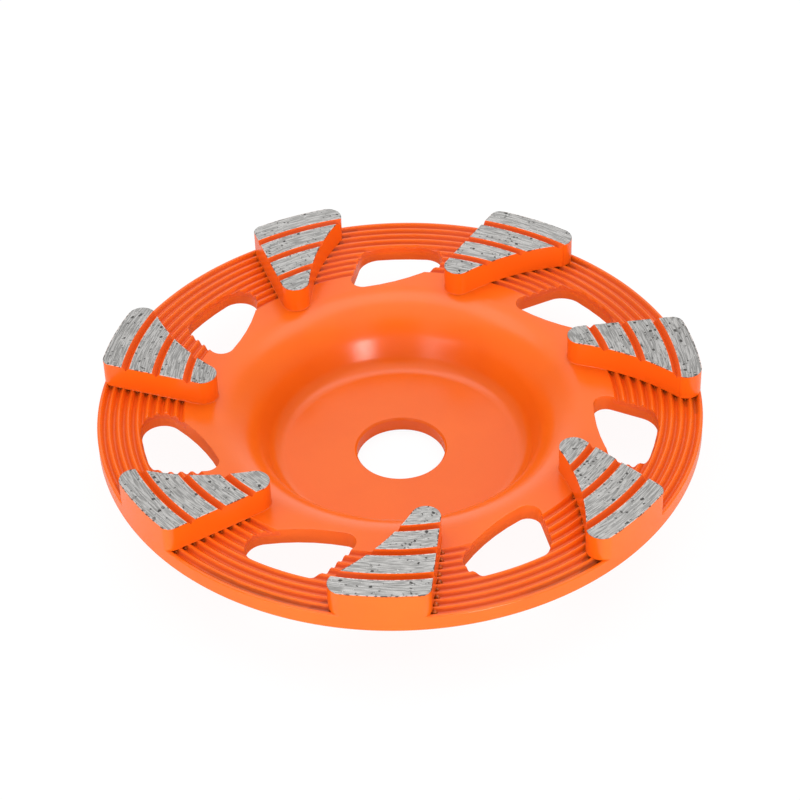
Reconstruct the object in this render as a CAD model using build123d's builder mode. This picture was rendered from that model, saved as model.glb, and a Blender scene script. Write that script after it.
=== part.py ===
from build123d import *
import os
import math

# Diamond cup wheel for grinding concrete: a turned steel cup core with a round centre bore, and seven curved
# diamond segments brazed on its grooved rim. Millimetres. The origin is the middle of the hub's back face, on
# the bore axis, with +Z towards the grinding face.

# Overall sizes
wheel_diameter = 150.0
bore_diameter = 22.23
core_height = 18.9
segment_height = 6.9
segment_count = 7
first_azimuth = -90.0  # where the first segment stands, in degrees

# Core walls
floor_thickness = 4.1
rim_thickness = 4.5
cone_thickness = 4.3
bore_chamfer = 0.5
rim_edge_chamfer = 0.5
rim_edge_radius = 0.4

# Dish: the wall line meets the floor plane and the rim plane at these radii
dish_floor_radius = 31.9
dish_mouth_radius = 38.6
dish_floor_fillet_radius = 5.0
dish_mouth_fillet_radius = 14.0
back_hub_fillet_radius = 5.0
back_rim_fillet_radius = 6.0

# Concentric grooves turned in the rim
groove_count = 9
groove_pitch = 2.357
groove_crest_width = 0.35
groove_flank_angle = 50.0
groove_bottom_radius = 0.45
rim_shoulder_width = 0.62  # from the outermost crest to the rim wall

# Vent opening, in its segment's own axes: X outward, Y counter-clockwise. It keeps a margin to the rim wall
# and to the rounded dish mouth. Its straight side is set by a distance from the axis and a normal's angle.
vent_rim_margin = 10.8
vent_mouth_margin = 0.48
vent_inner_arc_radius = 48.5
vent_inner_arc_angle = -16.35
vent_side_distance = 23.4
vent_side_angle = 50.5
vent_tail_fillet_radius = 5.0
vent_outer_fillet_radius = 6.0
vent_inner_fillet_radius = 3.2
vent_fillet_limit = 0.38  # no fillet is larger than this share of the vent's width

# Segment outline, in the same axes: a straight flank, a hollow flank, a round tip and two outer corners. The
# hollow flank is an arc between a point near the tip and a point on the rim wall.
straight_flank_distance = 14.75
straight_flank_angle = 82.96
hollow_flank_radius = 55.3
hollow_tip_distance = 46.93
hollow_tip_angle = 2.61
hollow_rim_angle = -18.74
tip_radius = 3.6
leading_corner_radius = 2.7
trailing_corner_radius = 3.7

# V slots across the segment tops
slot_count = 3
slot_pitch = 8.0
slot_width = 2.0
slot_flank_angle = 47.0
slot_bottom_radius = 0.15
slot_rim_margin = 6.4
slot_cut_rise = 0.3  # how far the cutting profile stands above the segment top

outer_radius = wheel_diameter / 2
bore_radius = bore_diameter / 2
rim_underside = core_height - rim_thickness
wheel_height = core_height + segment_height

# The back of the cone runs parallel to the dish wall, and the mouth fillet ends at the mouth edge
cone_slope = (dish_mouth_radius - dish_floor_radius) / (core_height - floor_thickness)
cone_width = cone_thickness * math.sqrt(1 + cone_slope**2)
back_hub_radius = dish_floor_radius - floor_thickness * cone_slope + cone_width
back_rim_radius = dish_mouth_radius - rim_thickness * cone_slope + cone_width

cone_rise_angle = math.atan2(1, cone_slope)
mouth_edge_radius = dish_mouth_radius + dish_mouth_fillet_radius * math.tan(cone_rise_angle / 2)

outer_crest_radius = outer_radius - rim_shoulder_width
groove_width = groove_pitch - groove_crest_width
groove_vee_depth = groove_width / 2 * math.tan(math.radians(groove_flank_angle))
outer_slot_radius = outer_radius - slot_rim_margin
slot_slope = math.tan(math.radians(slot_flank_angle))
slot_vee_depth = slot_width / 2 * slot_slope
slot_cut_reach = slot_width / 2 + slot_cut_rise / slot_slope

vent_outer_radius = outer_radius - vent_rim_margin
vent_inner_radius = mouth_edge_radius + vent_mouth_margin
largest_vent_fillet = vent_fillet_limit * (vent_outer_radius - vent_inner_radius)


# Point at radius_a from centre_a and at radius_b from centre_b, to the left (1) or right (-1) of a to b
def two_circle_point(centre_a, radius_a, centre_b, radius_b, side):
    apart = centre_b - centre_a
    along = (radius_a**2 - radius_b**2 + apart.length**2) / (2 * apart.length)
    across = math.sqrt(radius_a**2 - along**2)
    step = apart.normalized()
    return centre_a + step * along + step.rotate(Axis.Z, 90) * across * side


# Point on a line at a distance from the axis along its normal, at a radius from centre, on the outward side
def line_circle_point(normal, distance, centre, radius):
    foot = distance - normal.dot(centre)
    across = math.sqrt(radius**2 - foot**2)
    return centre + normal * foot + normal.rotate(Axis.Z, -90) * across


# Round between two tangent points, less than half a turn
def tangent_round(centre, radius, start, end):
    middle = centre + ((start + end) / 2 - centre).normalized() * radius
    return ThreePointArc(start, middle, end)


# One vent: the lens between the rim circle and the inner arc, cut off by a straight side, with round corners
side_normal = Vector(1, 0).rotate(Axis.Z, vent_side_angle)
inner_arc_centre = Vector(vent_inner_radius + vent_inner_arc_radius, 0).rotate(Axis.Z, vent_inner_arc_angle)
with BuildSketch() as vent_outline:
    Circle(vent_outer_radius)
    with Locations(inner_arc_centre):
        Circle(vent_inner_arc_radius, mode=Mode.INTERSECT)
    with Locations(Location(side_normal * vent_side_distance, (0, 0, vent_side_angle))):
        Rectangle(
            wheel_diameter,
            2 * wheel_diameter,
            align=(Align.MIN, Align.CENTER),
            mode=Mode.SUBTRACT,
        )
    corners = vent_outline.vertices().sort_by(Axis.Y)
    fillet(corners[0], min(vent_tail_fillet_radius, largest_vent_fillet))
    corners = vent_outline.vertices().sort_by(Axis.X)
    fillet(corners[-1], min(vent_outer_fillet_radius, largest_vent_fillet))
    corners = vent_outline.vertices().sort_by(Axis.Y)
    fillet(corners[-1], min(vent_inner_fillet_radius, largest_vent_fillet))

# Steel core: hub floor, conical dish wall and grooved rim in one turned body
with BuildPart() as steel_core:
    with BuildSketch(Plane.XZ) as profile:
        with BuildLine():
            Polyline(
                (bore_radius, 0),
                (back_hub_radius, 0),
                (back_rim_radius, rim_underside),
                (outer_radius, rim_underside),
                (outer_radius, core_height),
                (dish_mouth_radius, core_height),
                (dish_floor_radius, floor_thickness),
                (bore_radius, floor_thickness),
                close=True,
            )
        make_face()
        bottom = profile.vertices().group_by(Axis.Y)[0].sort_by(Axis.X)
        fillet(bottom[-1], back_hub_fillet_radius)
        floor = profile.vertices().filter_by(lambda v: abs(v.Y - floor_thickness) < 1e-3).sort_by(Axis.X)
        fillet(floor[-1], dish_floor_fillet_radius)
        under = profile.vertices().filter_by(lambda v: abs(v.Y - rim_underside) < 1e-3).sort_by(Axis.X)
        fillet(under[0], back_rim_fillet_radius)
        chamfer(under[-1], rim_edge_chamfer)
        top = profile.vertices().group_by(Axis.Y)[-1].sort_by(Axis.X)
        fillet(top[0], dish_mouth_fillet_radius)
        fillet(top[-1], rim_edge_radius)
        bore_ends = profile.vertices().group_by(Axis.X)[0]
        chamfer(bore_ends, bore_chamfer)
        # V grooves with a rounded bottom, from the outermost crest inwards
        with BuildSketch(mode=Mode.PRIVATE) as groove:
            with BuildLine():
                Polyline(
                    (-groove_width / 2, 0),
                    (0, -groove_vee_depth),
                    (groove_width / 2, 0),
                    close=True,
                )
            make_face()
            fillet(groove.vertices().sort_by(Axis.Y)[0], groove_bottom_radius)
        for index in range(groove_count):
            groove_radius = outer_crest_radius - groove_pitch * (index + 0.5)
            with Locations((groove_radius, core_height)):
                add(groove.sketch, mode=Mode.SUBTRACT)
    revolve(axis=Axis.Z)
    # Vent openings through the rim, one behind each segment
    with BuildSketch(Plane.XY) as vents:
        with PolarLocations(0, segment_count, start_angle=first_azimuth):
            add(vent_outline.sketch)
    extrude(amount=core_height, mode=Mode.SUBTRACT)
steel_core.part.label = "steel_core"

# Tangent points of the segment outline
axis_point = Vector(0, 0)
flank_normal = Vector(1, 0).rotate(Axis.Z, straight_flank_angle)
hollow_flank_centre = two_circle_point(
    Vector(hollow_tip_distance, 0).rotate(Axis.Z, hollow_tip_angle),
    hollow_flank_radius,
    Vector(outer_radius, 0).rotate(Axis.Z, hollow_rim_angle),
    hollow_flank_radius,
    -1,
)
tip_centre = line_circle_point(
    flank_normal,
    straight_flank_distance - tip_radius,
    hollow_flank_centre,
    hollow_flank_radius + tip_radius,
)
leading_centre = line_circle_point(
    flank_normal,
    straight_flank_distance - leading_corner_radius,
    axis_point,
    outer_radius - leading_corner_radius,
)
trailing_centre = two_circle_point(
    axis_point,
    outer_radius - trailing_corner_radius,
    hollow_flank_centre,
    hollow_flank_radius + trailing_corner_radius,
    1,
)
tip_flank_end = tip_centre + flank_normal * tip_radius
leading_flank_end = leading_centre + flank_normal * leading_corner_radius
leading_rim_end = leading_centre.normalized() * outer_radius
trailing_rim_end = trailing_centre.normalized() * outer_radius
trailing_normal = (hollow_flank_centre - trailing_centre).normalized()
trailing_hollow_end = trailing_centre + trailing_normal * trailing_corner_radius
tip_hollow_end = tip_centre + (hollow_flank_centre - tip_centre).normalized() * tip_radius

with BuildSketch() as segment_outline:
    with BuildLine():
        Line(tip_flank_end, leading_flank_end)
        tangent_round(leading_centre, leading_corner_radius, leading_flank_end, leading_rim_end)
        tangent_round(axis_point, outer_radius, leading_rim_end, trailing_rim_end)
        tangent_round(trailing_centre, trailing_corner_radius, trailing_rim_end, trailing_hollow_end)
        tangent_round(hollow_flank_centre, hollow_flank_radius, trailing_hollow_end, tip_hollow_end)
        tangent_round(tip_centre, tip_radius, tip_hollow_end, tip_flank_end)
    make_face()

# Slot cross-section, from the segment top down
with BuildSketch() as slot_profile:
    with BuildLine():
        Polyline(
            (-slot_cut_reach, slot_cut_rise),
            (0, -slot_vee_depth),
            (slot_cut_reach, slot_cut_rise),
            close=True,
        )
    make_face()
    fillet(slot_profile.vertices().sort_by(Axis.Y)[0], slot_bottom_radius)

# Diamond segments: one sintered block each, standing on the groove crests, with three slots across the top
segments = []
for index in range(segment_count):
    azimuth = math.radians(first_azimuth + index * 360 / segment_count)
    segment_plane = Plane(
        origin=(0, 0, core_height),
        x_dir=(math.cos(azimuth), math.sin(azimuth), 0),
        z_dir=(0, 0, 1),
    )
    with BuildPart() as segment:
        with BuildSketch(segment_plane):
            add(segment_outline.sketch)
        extrude(amount=segment_height)
        with BuildSketch(Plane.XZ):
            for slot in range(slot_count):
                with Locations((outer_slot_radius - slot * slot_pitch, wheel_height)):
                    add(slot_profile.sketch)
        revolve(axis=Axis.Z, mode=Mode.SUBTRACT)
    segment.part.label = f"diamond_segment_{index + 1}"
    segments.append(segment.part)

os.makedirs("parts", exist_ok=True)
export_step(steel_core.part, "parts/steel_core.step")
for segment_part in segments:
    export_step(segment_part, f"parts/{segment_part.label}.step")
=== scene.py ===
import bpy
import math
import random
from mathutils import Matrix, Vector


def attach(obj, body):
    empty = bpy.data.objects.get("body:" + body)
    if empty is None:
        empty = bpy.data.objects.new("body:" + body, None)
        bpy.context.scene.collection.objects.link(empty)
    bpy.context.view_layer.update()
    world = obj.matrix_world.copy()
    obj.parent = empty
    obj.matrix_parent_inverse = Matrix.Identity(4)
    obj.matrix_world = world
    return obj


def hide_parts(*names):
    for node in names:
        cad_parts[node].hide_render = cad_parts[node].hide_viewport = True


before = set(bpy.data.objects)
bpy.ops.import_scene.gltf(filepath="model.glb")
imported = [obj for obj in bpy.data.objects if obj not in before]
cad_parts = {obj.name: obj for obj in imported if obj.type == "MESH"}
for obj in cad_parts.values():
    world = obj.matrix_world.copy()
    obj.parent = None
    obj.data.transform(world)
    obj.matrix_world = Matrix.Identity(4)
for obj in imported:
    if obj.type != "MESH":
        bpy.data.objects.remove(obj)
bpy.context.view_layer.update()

# THE STEEL CORE
# One turned piece of mild steel: a flat hub floor with the arbor bore, a conical dish and a flat rim. Nine V
# grooves run round the rim, seven vents are milled through it, and the whole is sprayed with orange enamel.
mm = 0.001
axis = Vector((0, 0))
segment_count = 7
step_angle = 2 * math.pi / segment_count
outer_radius = 75 * mm
core_height = 18.9 * mm
bore_radius = 11.115 * mm
bore_chamfer = 0.5 * mm
bore_chamfer_round = 0.1 * mm
floor_height = 4.1 * mm
floor_radius = 31.9 * mm
floor_round = 5 * mm
mouth_radius = 38.6 * mm
mouth_round = 14 * mm
rim_underside = 14.4 * mm
rim_round = 0.4 * mm
rim_chamfer = 0.5 * mm
rim_chamfer_round = 0.2 * mm
back_hub_radius = 34.764 * mm
back_hub_round = 5 * mm
back_rim_radius = 41.283 * mm
back_rim_round = 6 * mm
groove_count = 9
groove_pitch = 2.357 * mm
groove_crest = 0.35 * mm  # width of the flat left between two grooves
groove_vee_depth = 1.196 * mm  # down to where the two flanks would meet
groove_round = 0.45 * mm
crest_round = 0.16 * mm
outer_crest_radius = 74.38 * mm
arc_turn = math.radians(16)  # longest step along a round of the profile, as an angle
arc_chord = 0.7 * mm  # and as a length
rail_radius = 40 * mm  # of the circle that the profile is turned on
core_facets = 400
crease = math.radians(40)


def toward(angle):
    """A step of length 1 in a direction."""
    return Vector((math.cos(angle), math.sin(angle)))


def heading(v):
    return math.atan2(v.y, v.x)


def rounded(corners):
    """Closed outline through corners (x, y, radius), with an arc of that radius at each."""
    outline = []
    for i, (x, y, radius) in enumerate(corners):
        point = Vector((x, y))
        back = (Vector(corners[i - 1][:2]) - point).normalized()
        ahead = (Vector(corners[(i + 1) % len(corners)][:2]) - point).normalized()
        half = back.angle(ahead) / 2
        centre = point + (back + ahead).normalized() * radius / math.sin(half)
        start = point + back * radius / math.tan(half) - centre
        end = point + ahead * radius / math.tan(half) - centre
        sweep = math.pi - 2 * half
        steps = max(2, round(sweep / arc_turn), math.ceil(radius * sweep / arc_chord))
        for s in range(steps + 1):
            t = s / steps
            part_way = start * math.sin((1 - t) * sweep) + end * math.sin(t * sweep)
            outline.append(centre + part_way / math.sin(sweep))
    return outline


def fan(centre, radius, start, end, turn=math.radians(5)):
    """Points on an arc from one direction to another, counter-clockwise, without the last."""
    sweep = (end - start) % (2 * math.pi)
    steps = max(3, math.ceil(sweep / turn))
    return [centre + toward(start + sweep * s / steps) * radius for s in range(steps)]


def circles_meet(a, ra, b, rb, side):
    """Point at ra from a and rb from b, left (1) or right (-1) of the way from a to b."""
    apart = b - a
    along = (ra**2 - rb**2 + apart.length_squared) / (2 * apart.length)
    across = math.sqrt(ra**2 - along**2)
    step = apart.normalized()
    return a + step * along + Vector((-step.y, step.x)) * across * side


def line_meets(normal, distance, centre, radius):
    """Point at radius from centre on the line at distance along normal, the one clockwise of normal."""
    foot = distance - normal.dot(centre)
    return centre + normal * foot + Vector((normal.y, -normal.x)) * math.sqrt(radius**2 - foot**2)


vent_outer = 64.2 * mm
vent_inner = 48.105 * mm  # where the inner arc comes nearest to the axis
vent_arc_radius = 48.5 * mm
vent_arc_centre = toward(math.radians(-16.35)) * (vent_inner + vent_arc_radius)
vent_side_normal = toward(math.radians(50.5))
vent_side = 23.4 * mm
vent_edge = 0.16 * mm  # round on both edges of a vent's wall


def vent_outline(grow):
    """The vent in its segment's axes, u outward and v counter-clockwise, grown by a distance."""
    tail, outer, inner = 5.0 * mm, 6.0 * mm, 3.2 * mm  # rounds of its three corners
    tail_centre = circles_meet(axis, vent_outer - tail, vent_arc_centre, vent_arc_radius - tail, -1)
    outer_centre = line_meets(vent_side_normal, vent_side - outer, axis, vent_outer - outer)
    to_side = vent_side - inner - vent_side_normal.dot(vent_arc_centre)
    inner_centre = vent_arc_centre + vent_side_normal * to_side
    reach = math.sqrt((vent_arc_radius - inner)**2 - (inner_centre - vent_arc_centre).length_squared)
    inner_centre += Vector((-vent_side_normal.y, vent_side_normal.x)) * reach
    side = heading(vent_side_normal)
    to_inner, to_tail = heading(inner_centre - vent_arc_centre), heading(tail_centre - vent_arc_centre)
    return (fan(axis, vent_outer + grow, heading(tail_centre), heading(outer_centre))
            + fan(outer_centre, outer + grow, heading(outer_centre), side)
            + [outer_centre + vent_side_normal * (outer + grow)]
            + fan(inner_centre, inner + grow, side, to_inner)
            + fan(vent_arc_centre, vent_arc_radius + grow, to_inner, to_tail)
            + fan(tail_centre, tail + grow, to_tail, heading(tail_centre)))


def plain_mesh(name, points, edges=(), faces=()):
    mesh = bpy.data.meshes.new(name)
    mesh.from_pydata([tuple(p) for p in points], list(edges), list(faces))
    mesh.validate()
    piece = bpy.data.objects.new(name, mesh)
    bpy.context.scene.collection.objects.link(piece)
    return piece


def prism(name, levels, outline_at):
    """A closed solid through rings of equal length; levels are (height, grow)."""
    rings = [[(p.y, -p.x, height) for p in outline_at(grow)] for height, grow in levels]
    n = len(rings[0])
    faces = [[r * n + i, r * n + (i + 1) % n, (r + 1) * n + (i + 1) % n, (r + 1) * n + i]
             for r in range(len(rings) - 1) for i in range(n)]
    faces += [list(reversed(range(n))), [(len(rings) - 1) * n + i for i in range(n)]]
    return plain_mesh(name, [p for ring in rings for p in ring], faces=faces)


def discard(piece):
    """Removes a cutter or a blank with its mesh, once it has done its work."""
    mesh = piece.data
    bpy.data.objects.remove(piece)
    bpy.data.meshes.remove(mesh)


def worked_mesh(piece):
    """A plain mesh of a piece as its modifiers leave it."""
    graph = bpy.context.evaluated_depsgraph_get()
    return bpy.data.meshes.new_from_object(piece.evaluated_get(graph), depsgraph=graph)


def settled(piece, label):
    """Turns a piece and its modifiers into a plain mesh object with that name."""
    mesh = worked_mesh(piece)
    discard(piece)
    mesh.name = label
    result = bpy.data.objects.new(label, mesh)
    bpy.context.scene.collection.objects.link(result)
    mesh.shade_smooth()
    mesh.set_sharp_from_angle(angle=crease)
    return result


def keep_flats_flat(piece):
    """Lets the flat faces keep their own shading beside small rounds."""
    modifier = piece.modifiers.new("weighted", "WEIGHTED_NORMAL")
    modifier.keep_sharp = True
    modifier.weight = 90
    plain, mesh = piece.data, worked_mesh(piece)
    piece.modifiers.clear()
    piece.data = mesh
    bpy.data.meshes.remove(plain)
    mesh.name = piece.name


class NodeTree:
    """A Geometry Nodes tree with named inputs, made in order."""

    def __init__(self, name, **inputs):
        self.tree = bpy.data.node_groups.new(name, "GeometryNodeTree")
        face = self.tree.interface
        face.new_socket("Geometry", in_out="INPUT", socket_type="NodeSocketGeometry")
        face.new_socket("Geometry", in_out="OUTPUT", socket_type="NodeSocketGeometry")
        for label, kind in inputs.items():
            face.new_socket(label.replace("_", " "), in_out="INPUT", socket_type="NodeSocket" + kind)
        self.inlet = self.tree.nodes.new("NodeGroupInput")
        self.outlet = self.tree.nodes.new("NodeGroupOutput")

    def given(self, label):
        return self.inlet.outputs[label]

    def node(self, kind, settings=None, **sockets):
        """Adds one node; its sockets are given by identifier or name, with a value or a link."""
        made = self.tree.nodes.new(kind)
        for label, value in (settings or {}).items():
            setattr(made, label, value)
        for label, value in sockets.items():
            place = next(s for s in made.inputs
                         if s.enabled and (s.identifier == label or s.name == label.replace("_", " ")))
            for one in value if isinstance(value, list) else [value]:
                if isinstance(one, bpy.types.NodeSocket):
                    self.tree.links.new(one, place)
                else:
                    place.default_value = one
        return made.outputs

    def finish_with(self, geometry):
        """Ends the tree: instances made real, and the material set."""
        real = self.node("GeometryNodeRealizeInstances", Geometry=geometry)
        done = self.node("GeometryNodeSetMaterial", Geometry=real["Geometry"], Material=self.given("Finish"))
        self.tree.links.new(done["Geometry"], self.outlet.inputs[0])

    def apply(self, piece, label, **values):
        """Runs the tree on a piece and returns the result as a plain mesh object."""
        modifier = piece.modifiers.new(self.tree.name, "NODES")
        modifier.node_group = self.tree
        for item in self.tree.interface.items_tree:
            key = item.name.replace(" ", "_")
            if item.in_out == "INPUT" and key in values:
                modifier[item.identifier] = values[key]
        return settled(piece, label)


corners = [
    (bore_radius, bore_chamfer, bore_chamfer_round),
    (bore_radius + bore_chamfer, 0, bore_chamfer_round),
    (back_hub_radius, 0, back_hub_round),
    (back_rim_radius, rim_underside, back_rim_round),
    (outer_radius - rim_chamfer, rim_underside, rim_chamfer_round),
    (outer_radius, rim_underside + rim_chamfer, rim_chamfer_round),
    (outer_radius, core_height, rim_round),
]
for i in range(groove_count):
    crest = outer_crest_radius - groove_pitch * i
    next_crest = crest - groove_pitch
    corners += [
        (crest - groove_crest / 2, core_height, crest_round),
        (crest - groove_pitch / 2, core_height - groove_vee_depth, groove_round),
        (next_crest + groove_crest / 2, core_height, crest_round),
    ]
corners += [
    (mouth_radius, core_height, mouth_round),
    (floor_radius, floor_height, floor_round),
    (bore_radius + bore_chamfer, floor_height, bore_chamfer_round),
    (bore_radius, floor_height - bore_chamfer, bore_chamfer_round),
]
profile = rounded(corners)
ring = plain_mesh("profile", [(p.x - rail_radius, -p.y, 0) for p in profile],
                  edges=[(i, (i + 1) % len(profile)) for i in range(len(profile))])

cutter_reach = 2 * mm
round_middle = 0.293  # how deep the middle of a small round lies, as a share of its radius
bevel = [(0, vent_edge), (round_middle * vent_edge, round_middle * vent_edge), (vent_edge, 0)]
cutter = prism("vent_cutter",
               [(rim_underside - cutter_reach, vent_edge)]
               + [(rim_underside + depth, grow) for depth, grow in bevel]
               + [(core_height - depth, grow) for depth, grow in reversed(bevel)]
               + [(core_height + cutter_reach, vent_edge)],
               vent_outline)

turning = NodeTree("turned core", Facets="Int", Rail_radius="Float", Vents="Int", Vent_cutter="Object",
                   Finish="Material")
rail = turning.node("GeometryNodeCurvePrimitiveCircle",
                    Resolution=turning.given("Facets"), Radius=turning.given("Rail radius"))
line = turning.node("GeometryNodeMeshToCurve", Mesh=turning.given("Geometry"))
body = turning.node("GeometryNodeCurveToMesh", Curve=rail["Curve"], Profile_Curve=line["Curve"])
body = turning.node("GeometryNodeFlipFaces", Mesh=body["Mesh"])
places = turning.node("GeometryNodePoints", Count=turning.given("Vents"))
index = turning.node("GeometryNodeInputIndex")
share = turning.node("ShaderNodeMath", {"operation": "DIVIDE"},
                     Value=2 * math.pi, Value_001=turning.given("Vents"))
azimuth = turning.node("ShaderNodeMath", {"operation": "MULTIPLY"},
                       Value=index["Index"], Value_001=share["Value"])
turned = turning.node("ShaderNodeCombineXYZ", Z=azimuth["Value"])
tool = turning.node("GeometryNodeObjectInfo", Object=turning.given("Vent cutter"))
tools = turning.node("GeometryNodeInstanceOnPoints", Points=places["Geometry"], Instance=tool["Geometry"],
                     Rotation=turned["Vector"])
tools = turning.node("GeometryNodeRealizeInstances", Geometry=tools["Instances"])
cut = turning.node("GeometryNodeMeshBoolean", {"operation": "DIFFERENCE", "solver": "MANIFOLD"},
                   Mesh_1=body["Mesh"], Mesh_2=tools["Geometry"])
turning.finish_with(cut["Mesh"])


class Value:
    """A socket of a material that takes part in plain arithmetic."""

    def __init__(self, finish, socket):
        self.finish = finish
        self.socket = socket

    def __add__(self, other): return self.finish.maths("ADD", self, other)
    def __radd__(self, other): return self.finish.maths("ADD", other, self)
    def __sub__(self, other): return self.finish.maths("SUBTRACT", self, other)
    def __rsub__(self, other): return self.finish.maths("SUBTRACT", other, self)
    def __mul__(self, other): return self.finish.maths("MULTIPLY", self, other)
    def __rmul__(self, other): return self.finish.maths("MULTIPLY", other, self)
    def __truediv__(self, other): return self.finish.maths("DIVIDE", self, other)
    def __rtruediv__(self, other): return self.finish.maths("DIVIDE", other, self)


class Finish:
    """A material built from the object's own coordinates."""

    def __init__(self, name, home=bpy.data.materials, coordinates="Object"):
        self.material = home.new(name)
        self.material.use_nodes = True
        self.tree = self.material.node_tree
        self.tree.nodes.clear()
        self.place = self.node("ShaderNodeTexCoord")[coordinates]
        parts = self.node("ShaderNodeSeparateXYZ", {}, {"Vector": self.place})
        self.x, self.y, self.z = parts["X"], parts["Y"], parts["Z"]

    def node(self, kind, settings=None, sockets=None):
        """Adds one node: its settings first, then the values or links of its sockets."""
        made = self.tree.nodes.new(kind)
        for label, value in (settings or {}).items():
            setattr(made, label, value)
        for label, value in (sockets or {}).items():
            place = made.inputs[label] if isinstance(label, int) else next(
                s for s in made.inputs if s.name == label and s.enabled)
            if isinstance(value, Value):
                self.tree.links.new(value.socket, place)
            else:
                place.default_value = value
        return {s.name: Value(self, s) for s in reversed(made.outputs) if s.enabled}

    def maths(self, operation, *values):
        return self.node("ShaderNodeMath", {"operation": operation}, dict(enumerate(values)))["Value"]

    def length(self, x, y):
        return self.maths("SQRT", x * x + y * y)

    def noise(self, scale, detail=2.0, rough=0.5, place=None):
        return self.node("ShaderNodeTexNoise", {}, {"Vector": place or self.place, "Scale": scale,
                                                    "Detail": detail, "Roughness": rough})["Fac"]

    def between(self, value, low, high):
        """0 below low, 1 above high, smooth between; the other way round where low is the higher."""
        return self.node("ShaderNodeMapRange", {"interpolation_type": "SMOOTHSTEP"},
                         {"Value": value, "From Min": low, "From Max": high})["Result"]

    def band(self, value, start, end):
        """0 outside start and end, 1 inside them; each is a pair, from where it is 0 to where it is 1."""
        return self.between(value, *start) * self.between(value, *end)

    def tint(self, share, first, second):
        return self.node("ShaderNodeMix", {"data_type": "RGBA"},
                         {"Factor": share, "A": first, "B": second})["Result"]

    def vector(self, x, y, z=0.0):
        return self.node("ShaderNodeCombineXYZ", {}, {"X": x, "Y": y, "Z": z})["Vector"]

    def relief(self, height, distance, strength, under=None):
        sockets = {"Height": height, "Distance": distance, "Strength": strength}
        if under is not None:
            sockets["Normal"] = under
        return self.node("ShaderNodeBump", {}, sockets)["Normal"]

    def surface(self, **sockets):
        named = {label.replace("_", " "): value for label, value in sockets.items()}
        shader = self.node("ShaderNodeBsdfPrincipled", {}, named)
        self.node("ShaderNodeOutputMaterial", {}, {"Surface": shader["BSDF"]})
        return self.material


def wheel_axes(finish):
    """Radius, angle, the nearest segment's number, and u and v in that segment's own axes."""
    radius = finish.length(finish.x, finish.y)
    azimuth = finish.maths("ARCTAN2", finish.x, 0 - finish.y)
    turns = finish.maths("ROUND", azimuth / step_angle)
    local = azimuth - turns * step_angle
    u = radius * finish.maths("COSINE", local)
    v = radius * finish.maths("SINE", local)
    return radius, azimuth, turns, u, v


flank_normal = toward(math.radians(82.96))
flank_distance = 14.75 * mm
hollow_radius = 55.3 * mm
hollow_start = toward(math.radians(2.61)) * 46.93 * mm
hollow_end = toward(math.radians(-18.74)) * outer_radius
hollow_centre = circles_meet(hollow_start, hollow_radius, hollow_end, hollow_radius, -1)


def off_flanks(finish, u, v):
    """How far a point lies off the straight and the hollow flank of its segment, negative inside it."""
    off_straight = u * flank_normal.x + v * flank_normal.y - flank_distance
    off_hollow = hollow_radius - finish.length(u - hollow_centre.x, v - hollow_centre.y)
    return off_straight, off_hollow


smooth_rim = 53.4 * mm  # inside this radius the rim has no grooves
smooth_fade = 0.8 * mm
grooves_end = 74.5 * mm, 74.35 * mm
rim_face = 2.2 * mm, 1.6 * mm  # depths at which a surface stops being the rim's face
groove_flank = 0.10 * mm, 0.80 * mm
stain_start = 71.9 * mm, 72.6 * mm
stain_top = -0.02 * mm, 0.35 * mm
left_run = (-0.76, -0.60), (-0.24, -0.36)  # the stain's two stretches, as angles round the wheel
right_run = (0.34, 0.46), (0.72, 0.64)
scorch_and_shade_reach = 0.55 * mm, 0.15 * mm
scorch_and_shade_ragged = 0.8 * mm
skin_relief = 0.03 * mm
peel_scale, peel_rough, peel_strength = 700.0, 0.55, 0.30  # scales are in waves per metre
cloud_shades, cloud_share = (0.35, 0.7), 0.12
enamel_roughness = 0.22
enamel_ior = 1.5
enamel_colour = (0.94, 0.150, 0.006, 1)
enamel_deep = (0.74, 0.062, 0.003, 1)
scorch_and_shade_colour = (0.12, 0.030, 0.006, 1)
stain_colour = (0.26, 0.082, 0.012, 1)


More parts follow.
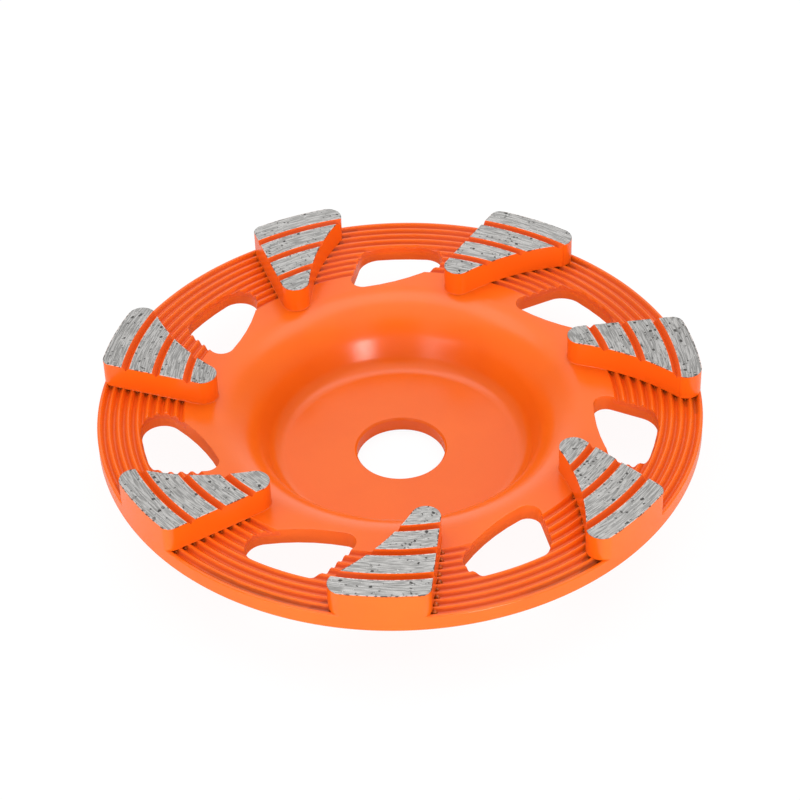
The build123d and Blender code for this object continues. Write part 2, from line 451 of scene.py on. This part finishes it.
def orange_enamel():
    """Semi-gloss orange enamel, with painted shade in the grooves, stained by the rim, and scorched and
    darkened with painted shade at the segments.
    """
    enamel = Finish("orange_enamel")
    radius, azimuth, _, u, v = wheel_axes(enamel)
    depth = core_height - enamel.z
    on_rim = (enamel.band(radius, (smooth_rim - smooth_fade, smooth_rim), grooves_end)
              * enamel.between(depth, *rim_face))
    in_groove = on_rim * enamel.between(depth, *groove_flank)
    cloud = enamel.noise(55.0, 3.0)
    mottle = enamel.noise(420.0, 2.0)
    colour = enamel.tint(enamel.between(cloud, *cloud_shades) * cloud_share, enamel_colour, enamel_deep)
    # painted shade: the enamel turns deeper the further down in the grooves it lies
    colour = enamel.tint(in_groove * (0.30 + mottle * 0.25), colour, enamel_deep)
    streak = enamel.noise(1.0, 3.0, 0.6, place=enamel.vector(radius * 2500.0, azimuth * 14.0))
    runs = enamel.band(azimuth, *left_run) + enamel.band(azimuth, *right_run) * 0.8
    stain = (enamel.between(radius, *stain_start) * on_rim * enamel.between(depth, *stain_top)
             * enamel.between(streak, 0.22, 0.62) * runs)
    colour = enamel.tint(stain * 0.42, colour, stain_colour)
    # scorch from the brazing, together with painted shade: the groove ends at the segment walls darken,
    # reaching further out the deeper they lie
    ragged = enamel.noise(1100.0, 2.0) * scorch_and_shade_ragged
    near_straight, near_hollow = [enamel.between(off + ragged - depth * 0.85, *scorch_and_shade_reach)
                                  for off in off_flanks(enamel, u, v)]
    colour = enamel.tint(in_groove * near_straight * near_hollow * 0.30, colour, scorch_and_shade_colour)
    peel = enamel.noise(peel_scale, 2.0, peel_rough)
    grain = enamel.noise(2000.0, 2.0, 0.6)
    bump = enamel.relief(peel, skin_relief, peel_strength)
    bump = enamel.relief(grain, skin_relief, on_rim * 0.85 + 0.10, bump)
    roughness = enamel_roughness + in_groove * 0.06 + mottle * 0.05
    return enamel.surface(Base_Color=colour, Roughness=roughness, Normal=bump, IOR=enamel_ior)


core = turning.apply(ring, "steel_core_turned", Facets=core_facets, Rail_radius=rail_radius,
                     Vents=segment_count, Vent_cutter=cutter, Finish=orange_enamel())
discard(cutter)
keep_flats_flat(core)
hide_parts("steel_core")
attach(core, "root")

# THE DIAMOND SEGMENTS
# Seven sintered blocks of metal powder and diamond grit, brazed on the groove crests. The walls and the three
# slots took the enamel with the core. The tops were then ground flat, which left bare metal with grit and
# pits.
segment_height = 6.9 * mm
top_height = core_height + segment_height
top_round = 0.14 * mm
slot_count = 3
slot_pitch = 8 * mm
outer_slot_radius = 68.6 * mm
slot_width = 2.0 * mm
slot_vee_depth = 1.0724 * mm
slot_cut_rise = 0.3 * mm  # how far the cutter of a slot stands over the segment
slot_facets = 360
tip, leading, trailing = 3.6 * mm, 2.7 * mm, 3.7 * mm  # rounds of the tip and of the two outer corners
tip_centre = line_meets(flank_normal, flank_distance - tip, hollow_centre, hollow_radius + tip)
leading_centre = line_meets(flank_normal, flank_distance - leading, axis, outer_radius - leading)
trailing_centre = circles_meet(axis, outer_radius - trailing, hollow_centre, hollow_radius + trailing, 1)
corner_turn, hollow_turn, wall_turn = math.radians(7), math.radians(1), math.radians(0.9)


def segment_outline(grow):
    """A segment's outline, u outward and v counter-clockwise, grown by a distance."""
    side = heading(flank_normal)
    to_trailing = heading(trailing_centre - hollow_centre)
    to_tip = heading(tip_centre - hollow_centre)
    hollow = fan(hollow_centre, hollow_radius - grow, to_trailing, to_tip, hollow_turn)
    hollow_back = [hollow_centre + toward(to_tip) * (hollow_radius - grow)] + hollow[:0:-1]
    return (fan(axis, outer_radius + grow, heading(trailing_centre), heading(leading_centre), wall_turn)
            + fan(leading_centre, leading + grow, heading(leading_centre), side, corner_turn)
            + [leading_centre + flank_normal * (leading + grow)]
            + fan(tip_centre, tip + grow, side, to_tip + math.pi, corner_turn)
            + hollow_back
            + fan(trailing_centre, trailing + grow, to_trailing + math.pi, heading(trailing_centre),
                  corner_turn))


mean_radius = 64 * mm  # turns an angle into a length along the ring
ground_colour = (0.53, 0.52, 0.505, 1)
scratch_colour = (0.28, 0.275, 0.265, 1)
wave_colour = (0.22, 0.215, 0.21, 1)
pale_colour = (0.58, 0.57, 0.555, 1)
grain_colour = (0.28, 0.275, 0.27, 1)
painted_glint_colour = (0.88, 0.87, 0.85, 1)
speck_colour = (0.07, 0.065, 0.06, 1)
pit_colour = (0.04, 0.036, 0.032, 1)
worn_edge_and_highlight = (0.86, 0.76, 0.70, 1)
dark_edge = (0.07, 0.055, 0.045, 1)
scuff_colour = (0.07, 0.035, 0.020, 1)
painted_slot_shade = (0.66, 0.045, 0.002, 1)
painted_flank_wall_shade = 74.6 * mm, 73.4 * mm
scratch_relief = 0.12 * mm


def ground_segment():
    """Bare ground metal on the top, with scratches round the wheel, pits, painted glints on the grit and pale
    edges partly painted as highlights; enamel with painted shade on the rest.
    """
    block = Finish("ground_segment")
    radius, azimuth, turns, u, v = wheel_axes(block)
    along = azimuth * mean_radius
    below = top_height - block.z
    chips = block.noise(900.0, 3.0, 0.6)
    broken = block.between(block.noise(1300.0, 2.0), 0.50, 0.56)

    # distances: from the nearest slot's lip, from the walls, and from whichever is nearer
    slot_phase = outer_slot_radius - (slot_count - 0.5) * slot_pitch
    in_pitch = block.maths("MODULO", radius - slot_phase, slot_pitch)
    off_slot = block.maths("ABSOLUTE", in_pitch - slot_pitch / 2) - slot_width / 2
    off_wall = block.maths("MAXIMUM", *off_flanks(block, u, v))
    to_wall = 0 - block.maths("MAXIMUM", off_wall, radius - outer_radius)
    inset = block.maths("MINIMUM", to_wall, off_slot)

    # patterns of the top; the segment's number shifts them, so that no two tops are alike
    scratch = block.noise(1.0, 1.0, 0.5, place=block.vector(radius * 3600.0, along * 240.0, turns * 3.1))
    wave = block.noise(1.0, 1.0, 0.5, place=block.vector(radius * 1000.0, along * 110.0, turns * 1.7))
    grain = block.noise(4300.0, 1.0)
    wander = block.noise(1400.0, 2.0) * (0.9 * mm)
    polar = block.vector(radius + wander, along + wander, turns * 0.37)
    cloud = block.noise(170.0, 2.0, place=polar)
    crowd = block.between(block.noise(230.0, 1.0, place=polar), 0.54, 0.66)
    grit = block.node("ShaderNodeTexVoronoi", {"feature": "F1"}, {"Vector": polar, "Scale": 800.0})
    lot = block.node("ShaderNodeSeparateColor", {}, {"Color": grit["Color"]})
    pit = (block.between(grit["Distance"] - lot["Blue"] * 0.14, 0.24, 0.14)
           * block.between(lot["Red"] + crowd * 0.40, 0.85, 0.89))
    small = block.node("ShaderNodeTexVoronoi", {"feature": "F1"}, {"Vector": polar, "Scale": 1300.0})
    small_lot = block.node("ShaderNodeSeparateColor", {}, {"Color": small["Color"]})
    speck = (block.between(small["Distance"], 0.36, 0.22)
             * block.between(small_lot["Green"] + crowd * 0.34, 0.88, 0.92))
    # grit crystals, painted in as bright glints
    painted_grit_glint = block.between(small["Distance"], 0.30, 0.18) * block.between(small_lot["Blue"], 0.89, 0.93)

    metal = block.tint(block.between(scratch, 0.42, 0.58), ground_colour, scratch_colour)
    metal = block.tint(block.between(wave, 0.58, 0.70) * 0.16, metal, wave_colour)
    metal = block.tint(block.between(cloud, 0.4, 0.65) * 0.15, metal, pale_colour)
    metal = block.tint(block.between(grain, 0.48, 0.62) * 0.28, metal, grain_colour)
    metal = block.tint(painted_grit_glint * 0.5, metal, painted_glint_colour)
    metal = block.tint(speck * 0.8, metal, speck_colour)
    metal = block.tint(pit * 0.92, metal, pit_colour)
    # a pale line along the unbroken edges of the top: partly metal bared at the edge, partly a painted edge
    # highlight
    rim_line = block.between(inset, 0.34 * mm, 0.22 * mm)
    metal = block.tint(rim_line * (1 - broken) * 0.5, metal, worn_edge_and_highlight)
    off_lips = block.between(off_slot, 0.25 * mm, 0.5 * mm)
    metal = block.tint(rim_line * broken * (0.35 + off_lips * 0.5), metal, dark_edge)

    wall_cloud = block.noise(60.0, 2.0)
    wall = block.tint(block.between(wall_cloud, *cloud_shades) * cloud_share, enamel_colour, enamel_deep)
    # painted shade: the side walls, inside the outer face, are made a deeper orange
    wall = block.tint(block.between(radius, *painted_flank_wall_shade) * 0.30, wall, enamel_deep)
    scuffed = block.between(below, 0.40 * mm, 0.15 * mm) * block.between(off_slot, 0.0, 0.3 * mm) * broken
    wall = block.tint(scuffed * 0.7, wall, scuff_colour)
    # painted shade: the enamel down in the slots is darkened to a deeper red
    in_slot = (block.between(off_slot, 0.05 * mm, -0.25 * mm)
               * block.between(to_wall, 0.02 * mm, 0.12 * mm))
    wall = block.tint(in_slot * 0.35, wall, painted_slot_shade)

    bare = (block.between(below - chips * 0.22 * mm, 0.03 * mm, -0.02 * mm)
            * block.between(inset, 0.02 * mm, 0.09 * mm))
    marks = scratch * 1.6 + wave * 0.4 - pit * 1.8 - speck * 0.9 + painted_grit_glint * 0.8
    bump = block.relief(marks, scratch_relief, bare * 0.9)
    peel = block.noise(peel_scale, 2.0, peel_rough)
    bump = block.relief(peel, skin_relief, (1 - bare) * peel_strength, bump)
    roughness = enamel_roughness + bare * (0.16 + pit * 0.3)
    return block.surface(Base_Color=block.tint(bare, wall, metal), Metallic=bare * (1 - pit) * 0.75,
                         Roughness=roughness, Normal=bump, IOR=enamel_ior)


pressing = NodeTree("diamond segment", Lip="Object", Slot_profile="Object", Outer_slot="Float",
                    Slot_pitch="Float", Slot_height="Float", Turn="Float", Finish="Material")
vee = pressing.node("GeometryNodeObjectInfo", Object=pressing.given("Slot profile"))
vee = pressing.node("GeometryNodeMeshToCurve", Mesh=vee["Geometry"])
slots = []
for number in range(slot_count):
    inward = pressing.node("ShaderNodeMath", {"operation": "MULTIPLY"},
                           Value=float(number), Value_001=pressing.given("Slot pitch"))
    slot_radius = pressing.node("ShaderNodeMath", {"operation": "SUBTRACT"},
                                Value=pressing.given("Outer slot"), Value_001=inward["Value"])
    rail = pressing.node("GeometryNodeCurvePrimitiveCircle", Resolution=slot_facets,
                         Radius=slot_radius["Value"])
    swept = pressing.node("GeometryNodeCurveToMesh", Curve=rail["Curve"], Profile_Curve=vee["Curve"])
    slots.append(pressing.node("GeometryNodeFlipFaces", Mesh=swept["Mesh"])["Mesh"])
joined = pressing.node("GeometryNodeJoinGeometry", Geometry=slots)
lift = pressing.node("ShaderNodeCombineXYZ", Z=pressing.given("Slot height"))
raised = pressing.node("GeometryNodeTransform", Geometry=joined["Geometry"], Translation=lift["Vector"])
cut = pressing.node("GeometryNodeMeshBoolean", {"operation": "DIFFERENCE", "solver": "EXACT"},
                    Mesh_1=pressing.given("Geometry"), Mesh_2=raised["Geometry"])
foot = pressing.node("GeometryNodeObjectInfo", Object=pressing.given("Lip"))
whole = pressing.node("GeometryNodeMeshBoolean", {"operation": "UNION", "solver": "EXACT"},
                      Mesh=[cut["Mesh"], foot["Geometry"]])
spin = pressing.node("ShaderNodeCombineXYZ", Z=pressing.given("Turn"))
turned = pressing.node("GeometryNodeTransform", Geometry=whole["Mesh"], Rotation=spin["Vector"])
pressing.finish_with(turned["Geometry"])

foot_fillet = 0.22 * mm
fillet_steps = 6
foot_sink = 0.02 * mm  # how far the fillet starts inside the rim
lip_radius = 74.2 * mm  # outside this the rim rounds off under the segment, and the lip fills the gap
lip_bottom, lip_top = core_height - 0.45 * mm, core_height + 0.5 * mm
wall_crease = math.radians(20)
upright, agreeing = 0.25, 0.8  # a wall's most rise, and least likeness to the outline's own direction
sliver_area = 1e-9


def segment_foot(grow):
    """The outline with its growth kept to the tip, which stands on the smooth part of the rim."""
    plain, grown = segment_outline(0), segment_outline(grow)
    shares = [min(1, max(0, (smooth_rim - p.length) / smooth_fade)) for p in plain]
    return [p.lerp(q, share) for p, q, share in zip(plain, grown, shares)] if grow > 0 else grown


def rim_lip(grow):
    """The part of the outline that stands over the rim's rounded edge."""
    outline = segment_outline(grow)
    start = next(i for i in range(len(outline)) if outline[i].length > lip_radius >= outline[i - 1].length)
    edge = [p for p in outline[start:] + outline[:start] if p.length > lip_radius]
    return edge + [p.normalized() * lip_radius for p in reversed(edge[1:-1])]


def facing(point):
    """The way the outline faces at a point on it, in the segment's own axes."""
    choices = [(abs(point.dot(flank_normal) - flank_distance), flank_normal),
               (abs((point - hollow_centre).length - hollow_radius), hollow_centre - point)]
    for centre, radius in ((axis, outer_radius), (tip_centre, tip), (leading_centre, leading),
                           (trailing_centre, trailing)):
        choices.append((abs((point - centre).length - radius), point - centre))
    return min(choices, key=lambda choice: choice[0])[1].normalized()


def true_walls(segment, angle):
    """Gives the upright walls the shading of their true curves, also beside the slots."""
    mesh = segment.data
    normals = [corner.vector.copy() for corner in mesh.corner_normals]
    turn = Matrix.Rotation(angle, 2)
    for polygon in mesh.polygons:
        for loop in polygon.loop_indices:
            local = turn.transposed() @ mesh.vertices[mesh.loops[loop].vertex_index].co.xy
            out = facing(Vector((-local.y, local.x)))
            out = turn @ Vector((out.y, -out.x))
            is_wall = abs(polygon.normal.z) < upright and out.dot(polygon.normal.xy) > agreeing
            if is_wall or polygon.area < sliver_area:
                normals[loop] = Vector((out.x, out.y, 0))
    mesh.normals_split_custom_set(normals)


ground = ground_segment()
skirt = [(core_height - foot_sink, foot_fillet)]
for step in range(fillet_steps + 1):
    angle = math.pi / 2 * step / fillet_steps
    skirt.append((core_height + foot_fillet * (1 - math.cos(angle)), foot_fillet * (1 - math.sin(angle))))
crown = [(top_height - 2 * top_round, 0), (top_height - top_round, 0),
         (top_height - round_middle * top_round, -round_middle * top_round), (top_height, -top_round)]
slot_reach = slot_width / 2 + slot_cut_rise * slot_width / 2 / slot_vee_depth
vee_corners = [(-slot_reach, -slot_cut_rise, 0), (0, slot_vee_depth, 0), (slot_reach, -slot_cut_rise, 0)]
vee_profile = plain_mesh("slot_profile", vee_corners, edges=[(0, 1), (1, 2), (2, 0)])
for k in range(segment_count):
    name = f"segment_{k + 1}"
    block = prism(name + "_block", skirt + crown, segment_foot)
    lip = prism(name + "_lip", [(lip_bottom, 0), (lip_top, 0)], rim_lip)
    segment = pressing.apply(block, name, Lip=lip, Slot_profile=vee_profile, Slot_height=top_height,
                             Outer_slot=outer_slot_radius, Slot_pitch=slot_pitch, Turn=k * step_angle,
                             Finish=ground)
    discard(lip)
    segment.data.set_sharp_from_angle(angle=wall_crease)
    true_walls(segment, k * step_angle)
    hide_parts(f"diamond_segment_{k + 1}")
    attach(segment, "root")
discard(vee_profile)

# THE BRAZE BEADS
# Where the braze ran out along the foot of each segment it froze as small dark beads in the ends of the
# grooves. The enamel only half covers them.
bead_radius = 0.62 * mm
bead_spread = 0.2
bead_rounds = 3  # subdivisions of a bead
bead_seed, run_out_seed = 4, 11
bead_ior = 1.55
usual_run_out = (-0.30, -0.15, 0.42)  # least and most that a bead stands off its wall, in mm, and its size
run_out = {(0, 0): (0.40, 0.80, 1.0), (6, 0): (-0.10, 0.10, 0.50), (1, 1): (-0.20, 0.0, 0.50),
           (0, 1): (-0.35, -0.2, 0.40)}  # the same where it isn't the usual, by segment and flank
bead_depth = (0.80, 1.0)  # in mm
bead_lift = 0.42 * mm  # a bead of full size lies this much higher than its depth says
bare_flux = (0.24, 0.055, 0.008, 1)
covered_flux = (0.58, 0.105, 0.008, 1)


def braze_flux():
    """Glossy frozen flux, brown where it is bare and darker orange where the enamel took."""
    flux = Finish("braze_flux")
    skin = flux.between(flux.noise(1500.0, 2.0), 0.38, 0.54)
    return flux.surface(Base_Color=flux.tint(skin, bare_flux, covered_flux), Roughness=0.10 + skin * 0.12,
                        Normal=flux.relief(flux.noise(2600.0, 2.0), skin_relief, 0.5), IOR=bead_ior)


def wall_spots(radius):
    """Where the outline crosses a radius, as (point, way out of the wall), the straight flank first."""
    outline = segment_outline(0)
    found = []
    for p, q in zip(outline, outline[1:] + outline[:1]):
        if (p.length < radius) != (q.length < radius):
            point = p.lerp(q, (radius - p.length) / (q.length - p.length))
            found.append((point, facing(point)))
    return sorted(found, key=lambda spot: -spot[0].y)


spots, sizes = [], []
chance = random.Random(run_out_seed)
for k in range(segment_count):
    turn = Matrix.Rotation(k * step_angle, 2)
    for groove in range(groove_count):
        groove_radius = outer_crest_radius - groove_pitch * (groove + 0.5)
        for side, (point, out) in enumerate(wall_spots(groove_radius)):
            near, far, share = run_out.get((k, side), usual_run_out)
            spot = turn @ (point + out * chance.uniform(near, far) * mm)
            height = core_height - chance.uniform(*bead_depth) * mm + bead_lift * share
            spots.append((spot.y, -spot.x, height))
            sizes.append(share)
drops = plain_mesh("drops", spots)
drops.data.attributes.new("bead", "FLOAT", "POINT").data.foreach_set("value", sizes)

beading = NodeTree("braze beads", Bead_radius="Float", Size_spread="Float", Seed="Int", Finish="Material")
least = beading.node("ShaderNodeMath", {"operation": "SUBTRACT"},
                     Value=1.0, Value_001=beading.given("Size spread"))
most = beading.node("ShaderNodeMath", {"operation": "ADD"},
                    Value=1.0, Value_001=beading.given("Size spread"))
chosen = beading.node("FunctionNodeRandomValue", {"data_type": "FLOAT"},
                      Min_001=least["Value"], Max_001=most["Value"], Seed=beading.given("Seed"))
share = beading.node("GeometryNodeInputNamedAttribute", {"data_type": "FLOAT"}, Name="bead")
size = beading.node("ShaderNodeMath", {"operation": "MULTIPLY"},
                    Value=chosen[1], Value_001=share["Attribute"])
drop = beading.node("GeometryNodeMeshIcoSphere", Radius=beading.given("Bead radius"),
                    Subdivisions=bead_rounds)
beads = beading.node("GeometryNodeInstanceOnPoints", Points=beading.given("Geometry"), Instance=drop["Mesh"],
                     Scale=size["Value"])
beading.finish_with(beads["Instances"])
beads = beading.apply(drops, "braze_beads", Bead_radius=bead_radius, Size_spread=bead_spread,
                      Seed=bead_seed, Finish=braze_flux())
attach(beads, "root")

# THE STUDIO
# A sheet of white paper under the wheel, inside a pale light tent. Two soft boxes stand low at the front
# right and one at the front left, one hangs overhead and a wide one fills from the front. The camera stands
# where it stood for the photograph.
sheet_reach, sheet_drop = 3, 0.02 * mm
sheet_corners = [(-sheet_reach, -sheet_reach), (sheet_reach, -sheet_reach), (sheet_reach, sheet_reach),
                 (-sheet_reach, sheet_reach)]
floor = plain_mesh("floor", [(x, y, -sheet_drop) for x, y in sheet_corners], faces=[(0, 1, 2, 3)])
paper_white = 0.85
paper_glow = 1.03
white = (1, 1, 1, 1)
vents_start, vents_end = (38 * mm, 46 * mm), (80 * mm, 66 * mm)

paper = Finish("white_paper")
path = paper.node("ShaderNodeLightPath")
seen = paper.maths("MAXIMUM", path["Is Camera Ray"], path["Is Transmission Ray"])
# under the vents the paper glows, lighting the vent walls from below like a lamp, and shows darker in
# reflections: painted light, and painted shade in the reflections
under_vents = paper.band(paper.length(paper.x, paper.y), vents_start, vents_end)
shade = paper_white - path["Is Glossy Ray"] * (0.17 + under_vents * 0.40)
matt = paper.node("ShaderNodeBsdfDiffuse", {}, {"Color": paper.vector(shade, shade, shade)})
glow = paper.node("ShaderNodeEmission", {}, {"Color": white, "Strength": paper_glow})
glow_share = seen * 0.9 + path["Is Diffuse Ray"] * under_vents * 0.85
sheet = paper.node("ShaderNodeMixShader", {}, {0: glow_share, 1: matt["BSDF"], 2: glow["Emission"]})
paper.node("ShaderNodeOutputMaterial", {}, {"Surface": sheet["Shader"]})
floor.data.materials.append(paper.material)

tent_strength = 0.96
tent = Finish("tent", bpy.data.worlds, "Generated")
seen_glossy = tent.node("ShaderNodeLightPath")["Is Glossy Ray"]
back_share = tent.y / tent.length(tent.x, tent.y)  # 1 straight behind the wheel, -1 on the camera's side
camera_gap = tent.between(back_share, -0.90, -0.985)
front = tent.between(back_share, 0.0, -0.5) * 0.25
flanks = tent.between(tent.maths("ABSOLUTE", tent.x), 0.18, 0.60) * 0.90
low = tent.between(tent.z, 1.02, 0.72)
dark = tent.maths("MAXIMUM", camera_gap + front, flanks) * low
back_light = tent.between(back_share, 0.5, 0.9) * tent.between(tent.z, 0.60, 0.30) * 0.38
dim = tent.between(back_share, 0.2, -0.6) * tent.between(tent.z, 0.95, 0.60) * 0.30
strength = (1 - seen_glossy * (dark - back_light)) * (1 - (1 - seen_glossy) * dim) * tent_strength
cloth = tent.node("ShaderNodeBackground", {}, {"Color": white, "Strength": strength})
tent.node("ShaderNodeOutputWorld", {}, {"Surface": cloth["Background"]})
bpy.context.scene.world = tent.material


def soft_box(name, towards, distance, width, height, power, mirrored=True, shape="RECTANGLE", only=None):
    """A soft area light aimed at the wheel, unmirrored, or mirrored in one piece only and lighting none."""
    light = bpy.data.lights.new(name, "AREA")
    light.shape = shape
    light.size, light.size_y = width, height
    light.energy = power
    lamp = bpy.data.objects.new(name, light)
    aim = Vector(towards).normalized()
    lamp.location = aim * distance + Vector((0, 0, core_height))
    lamp.rotation_euler = (-aim).to_track_quat("-Z", "Y").to_euler()
    lamp.visible_glossy = mirrored
    bpy.context.scene.collection.objects.link(lamp)
    if only is not None:
        lamp.visible_diffuse = False
        lit = bpy.data.collections.new(name + "_falls_on")
        lit.objects.link(only)
        lamp.light_linking.receiver_collection = lit


front_right = (0.430, -0.89, 0.12)
soft_box("front_right", front_right, 1.3, 0.26, 0.34, 5.2, shape="ELLIPSE", only=core)
soft_box("right_wash", front_right, 1.3, 0.40, 0.34, 4.6, mirrored=False)
soft_box("front_left", (-0.54, -0.84, 0.14), 1.3, 0.56, 0.34, 2.2)
soft_box("overhead", (0.0, 0.35, 1.0), 1.4, 1.6, 0.60, 3.9)
soft_box("front_fill", (-0.20, -1.0, 0.17), 1.6, 2.2, 0.30, 8.8, mirrored=False)

distance, elevation = 0.6544, math.radians(40.60)
focal_pixels, image_pixels, film_width = 2635.4, 800, 36
ahead = Vector((0, math.cos(elevation), -math.sin(elevation)))
right = Vector((1, 0, 0))
up = right.cross(ahead)
for about, degrees in ((up, -0.013), (right, 0.067), (ahead, 1.974)):  # pan, tilt and roll
    turn = Matrix.Rotation(math.radians(degrees), 3, about)
    ahead, right, up = turn @ ahead, turn @ right, turn @ up
lens = bpy.data.cameras.new("camera")
lens.lens = focal_pixels * film_width / image_pixels
lens.sensor_width = film_width
lens.clip_start = 0.01
camera = bpy.data.objects.new("camera", lens)
stand = Vector((0, -distance * math.cos(elevation), distance * math.sin(elevation) + core_height))
camera.matrix_world = Matrix.Translation(stand) @ Matrix((right, up, -ahead)).transposed().to_4x4()
bpy.context.scene.collection.objects.link(camera)
bpy.context.scene.camera = camera
bpy.context.scene.view_settings.view_transform = "Standard"
